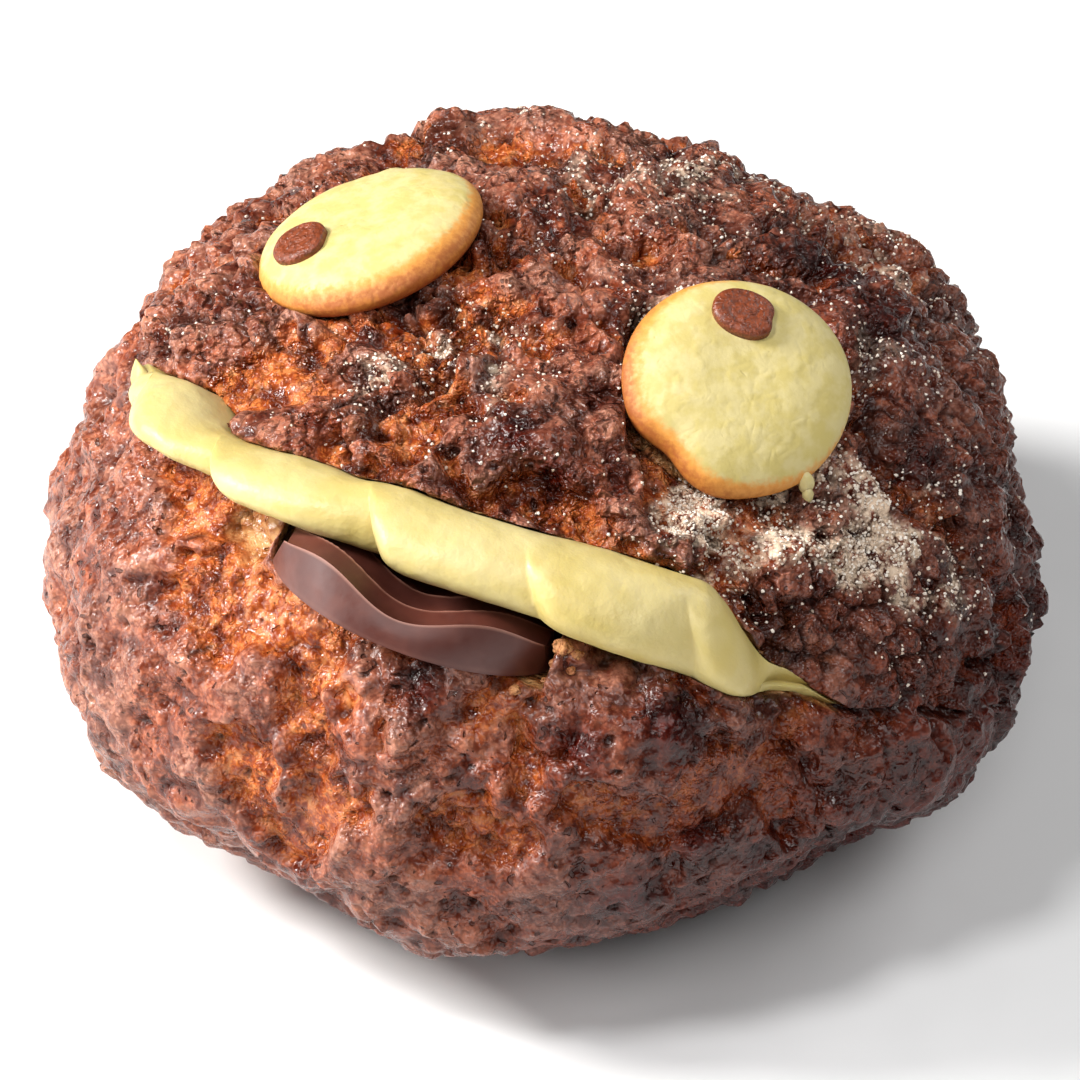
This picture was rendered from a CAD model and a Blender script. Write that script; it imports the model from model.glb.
"""Looks of a chocolate melon pan bun with a cream mouth, a chocolate tongue and biscuit eyes.

Shapes are worked out in millimetres and made into meshes in metres. The origin is the middle of the
flat base, +Z is up, and the mouth faces -Y.
"""

import math

import bmesh
import bpy
import numpy as np
from mathutils import Matrix


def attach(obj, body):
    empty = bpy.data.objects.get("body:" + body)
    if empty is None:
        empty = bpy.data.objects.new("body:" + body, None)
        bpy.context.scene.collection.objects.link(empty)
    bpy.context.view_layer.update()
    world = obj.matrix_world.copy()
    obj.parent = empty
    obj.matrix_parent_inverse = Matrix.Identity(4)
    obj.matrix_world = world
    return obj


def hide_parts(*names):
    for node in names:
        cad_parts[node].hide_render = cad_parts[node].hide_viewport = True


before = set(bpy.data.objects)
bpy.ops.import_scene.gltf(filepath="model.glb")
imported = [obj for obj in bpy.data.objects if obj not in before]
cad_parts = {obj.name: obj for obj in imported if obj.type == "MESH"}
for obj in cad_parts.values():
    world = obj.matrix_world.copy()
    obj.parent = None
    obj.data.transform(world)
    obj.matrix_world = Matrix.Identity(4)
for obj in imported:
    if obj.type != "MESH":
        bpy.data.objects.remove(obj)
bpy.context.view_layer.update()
MM = 0.001

# ---- sizes, mm and degrees ----

BUN_RADIUS = 52.5
BUN_MIDDLE = 27.0  # height of the widest part
BUN_RISE = 37.0  # from there to the top
BUN_DROP = 31.0  # from there down, before the base is cut flat
BUN_FULLNESS = 2.1  # 2 is an ellipsoid, more is boxier
CRUST_VOXEL = 0.38
CRUST_TRIANGLES = 196000
PLATE_RISE = 2.0  # how thick the cookie crust lies on the bread
CRUST_SINK = 1.7  # keeps the rough crust about as large as the smooth form
BASE_FLAT = 30.0  # radius of the flat base
CUTTER_GROW = 0.35  # air round what sits in the bun

# The cut slopes down into the bun, and is turned about the vertical. The mouth's ends are angles in it.
CUT_TILT = 34.0
CUT_TURN = 39.0
CUT_DEPTH = 30.0
MOUTH_LEFT = -38.0
MOUTH_RIGHT = 71.0
CREAM_GAP = 0.1
CREAM_SAG = 0.8
CREAM_ROOT = 1.5  # how far inside the crust the cream starts to swell
CREAM_SECTIONS = 520
CREAM_CREASES = (MOUTH_LEFT, -30.0, -12.0, 11.0, 31.0, 49.0, MOUTH_RIGHT)
CREASE_SLANT = 2.5  # degrees that a crease leans between its top and its foot
LATE_LOBES = 0.6  # how much shallower the creases are towards the right
# Along the cut, angle and mm: how far the cream swells out, and the heights of its upper and lower edge.
CREAM_BULGE = ((-38, 0.4), (-32, 4.2), (-22, 6.4), (-10, 5.2), (20, 4.8), (42, 5.4), (56, 4.2), (64, 1.0),
               (71, 0.0))
UPPER_LIP = ((-38, 5.0), (-26, 6.3), (-16, 3.9), (3, 5.8), (14, 7.3), (49, 9.5), (62, 3.7), (71, 1.8))
LOWER_LIP = ((-38, 5.0), (-28, 0.3), (-5, -0.4), (36, 0.7), (58, 0.4), (71, 1.6))
TAIL_GAP = 1.0  # air under the thin end of the cream
TAIL_SINK = 3.6  # how far that end lies back in the mouth

TONGUE_RADIUS = 15.2
TONGUE_HALF_WIDTH = 14.6
TONGUE_THICKNESS = 3.8
TONGUE_BACK = 3.0  # how far it runs back from its middle
TONGUE_DROOP = 9.0
TONGUE_TURN = 25.0
TONGUE_AT = (11.6, -37.6, -3.95)  # its middle, in the axes of the cut
TONGUE_HEADROOM = 4.0
TONGUE_FOREROOM = 6.0
TOP_SET_BACK = 0.9  # how far the top's front edge lies behind the underside's
TOP_CURVE = 0.74  # how round that edge is, beside the underside's
SIDE_DRAFT = 1.0
RIDGE_PITCH = 5.0
RIDGE_HEIGHT = 1.2
RIDGE_FALL = 0.2  # share of the pitch on a ridge's steep side
WAVE_LENGTH = 17.7
WAVE_HEIGHT = 1.1

BISCUIT_THICKNESS = 4.6
DROP_RADIUS = 3.0
DROP_SINK = 0.6
DROP_TALL = 1.5
DROP_LEAN = 0.035  # how much a drop tips for each millimetre from the biscuit's middle
DROP_NOTCH = -15.0  # where the piping ended at its side
# Each eye: where its biscuit lies and faces, where its rim is brownest, the dents and bulges of its
# outline (angle, spread in degrees, share of the radius), and where the drop is and how uneven.
EYES = {
    "left": dict(
        at=(-17.2, 3.8, 61.1), faces=(-0.31, 0.05, 0.95), radius=12.0, browned=-75.0,
        outline=((76, 5, 0.05), (200, 30, -0.015), (300, 40, 0.012)),
        drop=(-6.1, -2.2), lobe=0.06),
    "right": dict(
        at=(19.0, -19.2, 60.2), faces=(0.15, -0.535, 0.832), radius=11.4, browned=205.0,
        outline=((226, 15, -0.1), (259, 14, 0.03), (300, 25, 0.015), (100, 40, 0.01)),
        drop=(0.3, 6.4), lobe=0.12),
}

# Where the crust tore open as it baked: azimuth and elevation of both ends, and the half width, mm.
CRACKS = [
    (-72, 5, -48, 18, 2.4), (-48, 18, -31, 22, 2.4), (-64, 29, -45, 26, 3.2), (-34, 29, -30, 17, 2.4),
    (-30, 17, -25, 8, 2.6), (-38, 6, -29, -4, 3.6), (-29, -4, -22, 6, 3.4), (-12, 5, -1, 3, 2.8),
    (-4, 22, -1, 9, 1.8), (2, 7, 11, 5, 2.2), (11, 5, 21, 8, 2.2), (29, 13, 26, 7, 2.6),
    (26, 7, 29, -2, 2.4), (32, 6, 33, -8, 1.4), (-70, 37, -63, 55, 3.0), (-37, 62, -5, 69, 2.6),
    (-5, 69, 32, 68, 2.0), (-17, 46, 9, 40, 2.6), (9, 40, 28, 25, 2.4), (22, 52, 22, 38, 2.4),
    (174, 64, 94, 75, 2.6), (-171, 48, 155, 54, 2.4), (111, 65, 92, 57, 2.4), (109, 37, 83, 27, 2.4),
    (61, 39, 58, 29, 2.4), (58, 29, 60, 18, 2.2), (36, 12, 66, -5, 1.2),
]
CRACK_WIDTH = 0.72  # share of the half width at which the bread starts to show
BACK_CRACKS = 22
GOLDEN_ANGLE = 137.5
PLATE_SIZE = 10.0  # of the plates between the small cracks

# Swellings and dents of the whole crust: azimuth, elevation, spread in degrees, height.
SWELLINGS = [
    (-107, 17, 15, -2.2), (-155, 34, 14, 1.2), (38, -17, 8, -3.8), (63, -8, 12, 1.6), (20, -21, 12, -0.9),
    (-13, -21, 12, 1.6), (-34, -18, 10, -2.2), (94, 8, 12, -1.6), (170, 36, 22, 0.9), (12, 14, 11, 1.4),
    (-28, 32, 9, 0.9), (-58, 8, 14, 1.0), (70, 38, 12, 1.2), (-150, 5, 20, 1.2), (140, -5, 22, 1.4),
    (-170, 20, 12, -1.2),
]

# Where more bread or more cookie shows: azimuth, elevation, spread, how far the plates draw back or
# close up, how far the crust rises.
PATCHES = (
    (-41, 20, 7, -3.0, 0), (-55, 28, 6, -2.6, 0), (-29, 5, 8, -3.4, 0), (-7, 4, 8, -2.6, 0),
    (17, 1, 9, -3.2, 0), (27, 8, 6, -3.2, -0.4), (-66, 44, 8, -2.4, 0), (1, 44, 7, -2.4, 0),
    (-22, 69, 6, -3.0, 0), (24, 28, 4, -4.0, -0.3), (-28, 20, 6, -2.4, 0), (12, 17, 7, 3.4, 1.5),
    (-48, 0, 12, 3.0, 0.4), (-63, 17, 10, 2.0, 0.3), (-16, 14, 7, 2.6, 0.6), (-5, -7, 12, 2.4, 0.4),
    (47, -3, 10, 3.0, 0.5), (-45, 46, 8, 2.6, 0.7), (-88, 40, 10, 2.0, 0.4), (5, 57, 8, 2.2, 0.6),
    (127, 56, 15, 1.6, 0.4), (-3, 14, 2.6, -1.5, -1.8), (-38, -12, 3.5, 0, -2.0), (-24, -12, 3.0, 0, -1.6),
    (30, -7, 4.0, 0, -1.6), (-39, -6, 2.2, 0, -1.8), (25, -10, 3.0, 0, -1.6), (82, 41, 9, 2.0, 0.7),
    (180, 52, 40, 0, -1.0), (75, 0, 25, 0, -0.3), (-80, 20, 30, 0, -0.5),
)
# Baked darkest: azimuth, elevation and spread.
DARK_SPOTS = (
    (14, 17, 8), (2, 46, 5), (17, 1, 6), (4, 15, 6), (-14, 20, 5), (84, 42, 12), (68, 56, 10), (102, 46, 12),
    (64, 30, 6), (48, -2, 9), (10, -5, 8), (24, -3, 7), (-6, 51, 6),
)
SLIT = (36, 12, 66, -5)  # the thin end of the cut, where it has closed up
SLIT_DEPTH = 2.4
TEAR_AT = (-29.2, -29.2, 50.6)  # crumb torn open beside the tongue
TEAR_SIZE = 3.4
TEAR_DEPTH = 1.7

# The crust's relief, from broad to fine: how large each kind of feature is, then how high or deep.
LUMP_SIZE = 8.0
LUMP_RISE = 1.5
SMALL_LUMP_SIZE = 3.6
CLUMP_SIZE = 3.3
NODULE_SIZE = 1.5
GRIT_SIZE = 0.95
PIT_SPACING = 2.7
PIT_DEPTH = 0.9
HOLE_SPACING = 4.2
HOLE_DEPTH = 1.4
LEDGES = ((14.0, 1.5, 201), (9.5, 1.1, 211), (6.0, 0.7, 221))  # size, step and seed
SKIN_DEPTHS = (0.3, 1.3)  # the crust ends and the crumb begins between these depths
WARP_DEPTH = 5.0  # the relief dies out down to this depth
SHADED = (0.62, -0.25, -0.75)  # the side that baked darkest

# Where sugar lies thick: azimuth, elevation, spread in degrees, strength.
SUGAR_SPOTS = (
    (29, 36, 7, 1.6), (45, 31, 7, 1.2), (54, 23, 8, 0.7), (-26, 69, 8, 0.6), (-42, 57, 7, 0.5),
    (-20, 57, 8, 0.3), (75, 42, 10, 0.2), (118, 33, 12, 0.5), (150, 55, 20, 0.4), (60, 62, 12, 0.35),
)

# Loose crumbs of bread, and the cream that drips from under the right biscuit: where, and size, mm.
CRUMBS = (
    (2.0, -44.4, 48.2, 1.9, 1.5, 1.6), (3.3, -44.6, 47.4, 1.3, 1.2, 1.1), (1.2, -45.3, 47.0, 1.2, 1.0, 0.9),
    (2.8, -45.6, 46.3, 0.9, 0.8, 0.8), (-2.6, -46.9, 44.9, 1.3, 1.0, 1.1), (0.2, -46.2, 45.6, 0.7, 0.6, 0.6),
)
DRIP = ((25.9, -27.2, 55.0, 1.6, 1.2, 2.4), (26.1, -27.6, 53.8, 1.1, 1.0, 1.7))

# Camera: it looks down on the front.
CAMERA_ELEVATION = 38.0
CAMERA_DISTANCE = 520.0
CAMERA_AIM = (-0.2, -2.7, 28.75)
CAMERA_LENS = 164.73

LAMP_DISTANCE = 600.0
LAMP_AIM = (0.0, 0.0, 30.0)
FLOOR_HALF = 3000.0
WORLD_LIGHT = 0.06

SUGAR_AMOUNT = 5.5e6  # grains on a square metre where sugar lies thick
SUGAR_SIZES = (0.13, 0.45)
SUGAR_UNEVENNESS = 0.11
SUGAR_SEED = 5


# ---- camera, light and floor ----

def aimed_at(obj, aim):
    """Turns a camera or lamp so that it looks at a point given in millimetres."""
    way = np.array(aim) * MM - np.array(obj.location)
    flat = math.hypot(way[0], way[1])
    obj.rotation_euler = (math.atan2(flat, -way[2]), 0.0, math.atan2(-way[0], way[1]))


def add_camera():
    tilt = math.radians(CAMERA_ELEVATION)
    away = np.array((0.0, -math.cos(tilt), math.sin(tilt))) * CAMERA_DISTANCE
    camera = bpy.data.objects.new("camera", bpy.data.cameras.new("camera"))
    camera.data.lens = CAMERA_LENS
    camera.data.sensor_width = 36.0
    camera.data.clip_start = 0.01
    camera.location = (np.array(CAMERA_AIM) + away) * MM
    camera.rotation_euler = (math.radians(90.0 - CAMERA_ELEVATION), 0.0, 0.0)
    bpy.context.scene.collection.objects.link(camera)
    bpy.context.scene.camera = camera


def add_lamp(name, azimuth_and_elevation, size, power, color=(1.0, 1.0, 1.0)):
    """A round soft lamp at a fixed distance from the bun, aimed at its middle."""
    lamp = bpy.data.objects.new(name, bpy.data.lights.new(name, "AREA"))
    lamp.data.shape = "DISK"
    lamp.data.size = size * MM
    lamp.data.energy = power
    lamp.data.color = color
    lamp.location = (way_to(*azimuth_and_elevation) * LAMP_DISTANCE + np.array(LAMP_AIM)) * MM
    aimed_at(lamp, LAMP_AIM)
    bpy.context.scene.collection.objects.link(lamp)


def add_studio():
    add_lamp("window", (-90.0, 38.0), 170.0, 5.1, (1.0, 0.985, 0.96))
    add_lamp("low_left_window", (-78.0, 12.0), 260.0, 1.2)
    add_lamp("front_left_fill", (-50.0, 60.0), 120.0, 1.5)
    add_lamp("back_right_rim", (120.0, 40.0), 320.0, 1.1)
    add_lamp("front_fill", (15.0, 50.0), 320.0, 1.1)
    world = bpy.data.worlds.new("studio")
    world.use_nodes = True
    world.node_tree.nodes["Background"].inputs["Color"].default_value = (1.0, 1.0, 1.0, 1.0)
    world.node_tree.nodes["Background"].inputs["Strength"].default_value = WORLD_LIGHT
    bpy.context.scene.world = world
    bpy.context.scene.view_settings.view_transform = "Standard"


def add_floor(material):
    corners = [(x, y, 0.0) for x, y in ((-1, -1), (1, -1), (1, 1), (-1, 1))]
    floor = add_mesh("floor", np.array(corners) * FLOOR_HALF, [(0, 1, 2, 3)], material, smooth=False)


# ---- noise over points in millimetres; the last number given to each kind is its seed ----

def scramble(cells, seed):
    """One repeatable number from 0 to 1 for each whole-numbered cell, an (N, 3) array."""
    x, y, z = (cells[:, axis].astype(np.int64) for axis in range(3))
    mixed = (x * 374761393 + y * 668265263 + z * 1442695041 + seed * 974634777) & 0xFFFFFFFF
    mixed = ((mixed ^ (mixed >> 13)) * 1274126177) & 0xFFFFFFFF
    mixed = ((mixed ^ (mixed >> 15)) * 2246822519) & 0xFFFFFFFF
    return ((mixed ^ (mixed >> 16)) & 0xFFFFFF) / float(0xFFFFFF)


def soft_noise(points, size, seed):
    """Smooth noise from -1 to 1, with features of about that size."""
    scaled = points / size
    base = np.floor(scaled)
    part = scaled - base
    part = part * part * part * (part * (part * 6.0 - 15.0) + 10.0)
    total = np.zeros(len(points))
    for corner in np.ndindex(2, 2, 2):
        weight = np.prod(np.where(np.array(corner), part, 1.0 - part), axis=1)
        total += weight * scramble(base + corner, seed)
    return total * 2.0 - 1.0


def layered_noise(points, size, layers, seed):
    """Smooth noise with finer layers on top, each half as large and half as strong."""
    total = np.zeros(len(points))
    for layer in range(layers):
        total += soft_noise(points, size / 2.0 ** layer, seed + layer) / 2.0 ** layer
    return total / 1.6


def wobble(points, size, amount, seed):
    """The points, each pushed about by smooth noise."""
    push = [soft_noise(points, size, seed + axis) for axis in range(3)]
    return points + amount * np.stack(push, axis=1)


def cell_noise(points, size, seed):
    """Distance to the nearest and second nearest scattered spot, in cells, and the nearest's number."""
    scaled = points / size
    base = np.floor(scaled)
    nearest = np.full(len(points), 9.0)
    second = np.full(len(points), 9.0)
    number = np.zeros(len(points))
    for step in np.ndindex(3, 3, 3):
        cell = base + np.array(step) - 1.0
        spot = cell + np.stack([scramble(cell, seed + 7 * axis) for axis in range(3)], axis=1)
        gap = np.sqrt(((spot - scaled) ** 2).sum(axis=1))
        closer = gap < nearest
        second = np.where(closer, nearest, np.minimum(second, gap))
        number = np.where(closer, scramble(cell, seed + 31), number)
        nearest = np.where(closer, gap, nearest)
    return nearest, second, number


def smoothstep(low, high, value):
    """0 up to low and 1 from high on, smooth between them; high may be the smaller of the two."""
    part = np.clip((value - low) / (high - low), 0.0, 1.0)
    return part * part * (3.0 - 2.0 * part)


def through(pairs, place):
    """A smooth curve through (place, value) pairs, flat at each of them."""
    value = np.full(np.shape(place), float(pairs[0][1]))
    for (start, low), (end, high) in zip(pairs, pairs[1:]):
        part = low + (high - low) * smoothstep(start, end, place)
        value = np.where(place >= start, part, value)
    return value


# ---- meshes ----

def add_mesh(name, points, faces, material, smooth=True, attributes=None):
    """A new piece from points in millimetres, with any attributes stored on its points."""
    mesh = bpy.data.meshes.new(name)
    mesh.from_pydata((np.asarray(points) * MM).tolist(), [], faces)
    for key, values in (attributes or {}).items():
        store(mesh, key, values)
    if material is not None:
        mesh.materials.append(material)
    if smooth:
        mesh.polygons.foreach_set("use_smooth", np.ones(len(mesh.polygons), dtype=bool))
    mesh.update()
    piece = bpy.data.objects.new(name, mesh)
    bpy.context.scene.collection.objects.link(piece)
    return piece


def store(mesh, key, values):
    layer = mesh.attributes.get(key) or mesh.attributes.new(key, "FLOAT", "POINT")
    layer.data.foreach_set("value", np.asarray(values, dtype=np.float32))


def points_of(mesh):
    flat = np.empty(len(mesh.vertices) * 3)
    mesh.vertices.foreach_get("co", flat)
    return flat.reshape(-1, 3) / MM


def normals_of(mesh):
    flat = np.empty(len(mesh.vertices) * 3, dtype=np.float32)
    mesh.vertex_normals.foreach_get("vector", flat)
    return flat.reshape(-1, 3)


def move_points(mesh, points):
    mesh.vertices.foreach_set("co", (points * MM).ravel())
    mesh.update()


def settled(piece):
    """Applies a piece's modifiers, and gives it back as a plain mesh."""
    graph = bpy.context.evaluated_depsgraph_get()
    mesh = bpy.data.meshes.new_from_object(piece.evaluated_get(graph))
    piece.modifiers.clear()
    old = piece.data
    piece.data = mesh
    bpy.data.meshes.remove(old)
    return piece


def ring_faces(rings, sides, closed=True):
    """Quads between rings of equal length, with a fan at each end if the stack is closed."""
    faces = []
    for ring in range(rings - 1):
        for side in range(sides):
            a = ring * sides + side
            b = ring * sides + (side + 1) % sides
            faces.append((a, b, b + sides, a + sides))
    if closed:
        first = rings * sides
        last = first + 1
        top = (rings - 1) * sides
        for side in range(sides):
            following = (side + 1) % sides
            faces.append((first, following, side))
            faces.append((last, top + side, top + following))
    return faces


def stacked(rings):
    """Points of a stack of rings, an (R, S, 3) array, with each end ring's middle added."""
    middles = [rings[0].mean(axis=0), rings[-1].mean(axis=0)]
    return np.concatenate([rings.reshape(-1, 3), np.array(middles)])


def placed(piece, stands_for=None):
    """Says what finish a piece has and which CAD node it stands for, and rides it on the one body."""
    if stands_for:
        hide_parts(stands_for)
    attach(piece, "root")


def cad_copy(node, grow):
    """A closed copy of a CAD node, grown outwards a little, to cut its seat with."""
    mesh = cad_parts[node].data.copy()
    work = bmesh.new()
    work.from_mesh(mesh)
    bmesh.ops.remove_doubles(work, verts=work.verts, dist=1e-6)
    if node != "cream_filling":
        hull = bmesh.ops.convex_hull(work, input=work.verts)
        inner = set(hull["geom_interior"]) | set(hull["geom_unused"])
        inner = [item for item in inner if isinstance(item, bmesh.types.BMVert)]
        bmesh.ops.delete(work, geom=inner, context="VERTS")
    bmesh.ops.recalc_face_normals(work, faces=work.faces)
    work.normal_update()
    for vertex in work.verts:
        vertex.co += vertex.normal * grow * MM
    work.to_mesh(mesh)
    work.free()
    mesh.materials.clear()
    cutter = bpy.data.objects.new(node + "_cutter", mesh)
    bpy.context.scene.collection.objects.link(cutter)
    return cutter


# ---- shader building ----

class Nodes:
    """Short calls that add and join the nodes of a shader tree."""

    def __init__(self, tree):
        self.tree = tree

    def join(self, source, socket):
        if isinstance(source, bpy.types.NodeSocket):
            self.tree.links.new(source, socket)
        elif socket.type == "RGBA":
            socket.default_value = (*source, 1.0)
        else:
            socket.default_value = source

    def node(self, kind, **inputs):
        made = self.tree.nodes.new(kind)
        for key, value in inputs.items():
            self.join(value, made.inputs[key.replace("_", " ")])
        return made

    def place(self):
        return self.tree.nodes.new("ShaderNodeTexCoord").outputs["Object"]

    def attribute(self, name):
        made = self.tree.nodes.new("ShaderNodeAttribute")
        made.attribute_name = name
        return made.outputs["Fac"]

    def scale(self, size):
        """What a texture's Scale must be for features of a size in millimetres, a number or a socket."""
        if isinstance(size, bpy.types.NodeSocket):
            return self.math("DIVIDE", 1.0 / MM, size)
        return 1.0 / (size * MM)

    def noise(self, size, detail=3.0, rough=0.55):
        made = self.node("ShaderNodeTexNoise", Vector=self.place(), Scale=self.scale(size), Detail=detail,
                         Roughness=rough)
        return made.outputs["Fac"]

    def vector(self, operation, first, second):
        made = self.tree.nodes.new("ShaderNodeVectorMath")
        made.operation = operation
        self.join(first, made.inputs[0])
        self.join(second, made.inputs["Scale" if operation == "SCALE" else 1])
        return made.outputs["Vector"]

    def span(self, value, low, high, start=0.0, end=1.0):
        """Value from low to high turned smoothly into start to end."""
        made = self.tree.nodes.new("ShaderNodeMapRange")
        made.interpolation_type = "SMOOTHSTEP"
        labels = ("Value", "From Min", "From Max", "To Min", "To Max")
        for label, part in zip(labels, (value, low, high, start, end)):
            self.join(part, made.inputs[label])
        return made.outputs["Result"]

    def math(self, operation, first, second):
        made = self.tree.nodes.new("ShaderNodeMath")
        made.operation = operation
        self.join(first, made.inputs[0])
        self.join(second, made.inputs[1])
        return made.outputs["Value"]

    def times(self, first, second):
        return self.math("MULTIPLY", first, second)

    def plus(self, first, second):
        return self.math("ADD", first, second)

    def mix(self, share, first, second, blend="MIX"):
        made = self.tree.nodes.new("ShaderNodeMix")
        made.data_type = "RGBA"
        made.blend_type = blend
        self.join(share, made.inputs["Factor"])
        colors = [socket for socket in made.inputs if socket.type == "RGBA"]
        self.join(first, colors[0])
        self.join(second, colors[1])
        return [socket for socket in made.outputs if socket.type == "RGBA"][0]

    def group(self, tree, **inputs):
        made = self.tree.nodes.new("ShaderNodeGroup")
        made.node_tree = tree
        for key, value in inputs.items():
            self.join(value, made.inputs[key.replace("_", " ")])
        return made.outputs

    def bump(self, height, depth, under=None):
        """A normal bumped by height, from 0 to 1, over that many millimetres."""
        made = self.node("ShaderNodeBump", Height=height, Distance=depth * MM)
        if under is not None:
            self.join(under, made.inputs["Normal"])
        return made.outputs["Normal"]


class Shader(Nodes):
    """A new material."""

    def __init__(self, name):
        self.material = bpy.data.materials.new(name)
        self.material.use_nodes = True
        super().__init__(self.material.node_tree)
        self.skin = self.tree.nodes["Principled BSDF"]

    def finish(self, color, rough, normal=None, **fixed):
        self.join(color, self.skin.inputs["Base Color"])
        self.join(rough, self.skin.inputs["Roughness"])
        if normal is not None:
            self.join(normal, self.skin.inputs["Normal"])
        for key, value in fixed.items():
            self.skin.inputs[key.replace("_", " ")].default_value = value
        return self.material


def effect(name, inputs, outputs):
    """A new group of shader nodes: its nodes, its input values and its output sockets."""
    tree = bpy.data.node_groups.new(name, "ShaderNodeTree")
    for label, kind in inputs:
        tree.interface.new_socket(name=label, in_out="INPUT", socket_type="NodeSocket" + kind)
    for label, kind in outputs:
        tree.interface.new_socket(name=label, in_out="OUTPUT", socket_type="NodeSocket" + kind)
    given = tree.nodes.new("NodeGroupInput").outputs
    result = tree.nodes.new("NodeGroupOutput").inputs
    return Nodes(tree), given, result


def mottle_effect():
    """Two colours that run into each other in soft patches of a size in millimetres."""
    nodes, given, result = effect("mottle", (("Size", "Float"), ("First", "Color"), ("Second", "Color")),
                                  (("Color", "Color"),))
    share = nodes.span(nodes.noise(given["Size"], 3.0, 0.6), 0.36, 0.64)
    nodes.join(nodes.mix(share, given["First"], given["Second"]), result["Color"])
    return nodes.tree


def cells_bent(nodes, size):
    """Cells a size in millimetres across with wavy edges: their distances and their random colours."""
    noise = nodes.node("ShaderNodeTexNoise", Vector=nodes.place(), Scale=nodes.scale(size), Detail=0.0)
    push = nodes.vector("SUBTRACT", noise.outputs["Color"], (0.5, 0.5, 0.5))
    push = nodes.vector("SCALE", push, nodes.times(size, 1.6 * MM))
    moved = nodes.vector("ADD", nodes.place(), push)
    return nodes.node("ShaderNodeTexVoronoi", Vector=moved, Scale=nodes.scale(size)).outputs


def grain_effect():
    """Rounded grains about a size in millimetres across: 1 on top of each, 0 in the gaps between."""
    nodes, given, result = effect("grains", (("Size", "Float"),), (("Height", "Float"),))
    cells = cells_bent(nodes, given["Size"])
    nodes.join(nodes.span(cells["Distance"], 0.75, 0.05), result["Height"])
    return nodes.tree


def pore_effect():
    """Pores of uneven size and outline, set about a size in millimetres apart: 1 in a pore, 0 outside."""
    nodes, given, result = effect("pores", (("Size", "Float"), ("Width", "Float")), (("Pore", "Float"),))
    cells = cells_bent(nodes, given["Size"])
    wide = nodes.times(nodes.span(cells["Color"], 0.3, 0.9), given["Width"])
    inside = nodes.math("SUBTRACT", wide, cells["Distance"])
    nodes.join(nodes.span(inside, -0.03, 0.08), result["Pore"])
    return nodes.tree


def paint(red, green, blue):
    """A screen colour, 0 to 255, as the linear colour that shaders use."""
    return tuple(((part / 255.0 + 0.055) / 1.055) ** 2.4 for part in (red, green, blue))


# The crust's colours, from its plates to its crumb.
COOKIE_DARK = paint(108, 58, 46)
COOKIE_LIGHT = paint(190, 132, 108)
WHITE = paint(255, 255, 255)
RUDDY = paint(255, 198, 158)  # stains the plates in broad patches
BREAD_DARK = paint(138, 56, 22)
BREAD_LIGHT = paint(210, 116, 56)
BREAD_SPECK = paint(232, 160, 86)
PLATE_TOP = paint(214, 154, 124)  # rubbed tops of the plates
BAKED_DARK = paint(122, 58, 38)  # this and the next darken what lies under them
LOW_DARK = paint(118, 60, 40)
HOLLOW_DARK = paint(48, 18, 11)
PORE_DARK = paint(56, 22, 14)
FROST = paint(240, 214, 186)  # fine sugar that has stuck to the crust
CRUMB_DARK = paint(150, 90, 48)
CRUMB_LIGHT = paint(200, 150, 98)


def floor_paint(mottle):
    shade = Shader("pale_floor")
    color = shade.group(mottle, Size=40.0, First=(0.86, 0.86, 0.86), Second=(0.9, 0.9, 0.9))["Color"]
    return shade.finish(color, 0.9)


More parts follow.
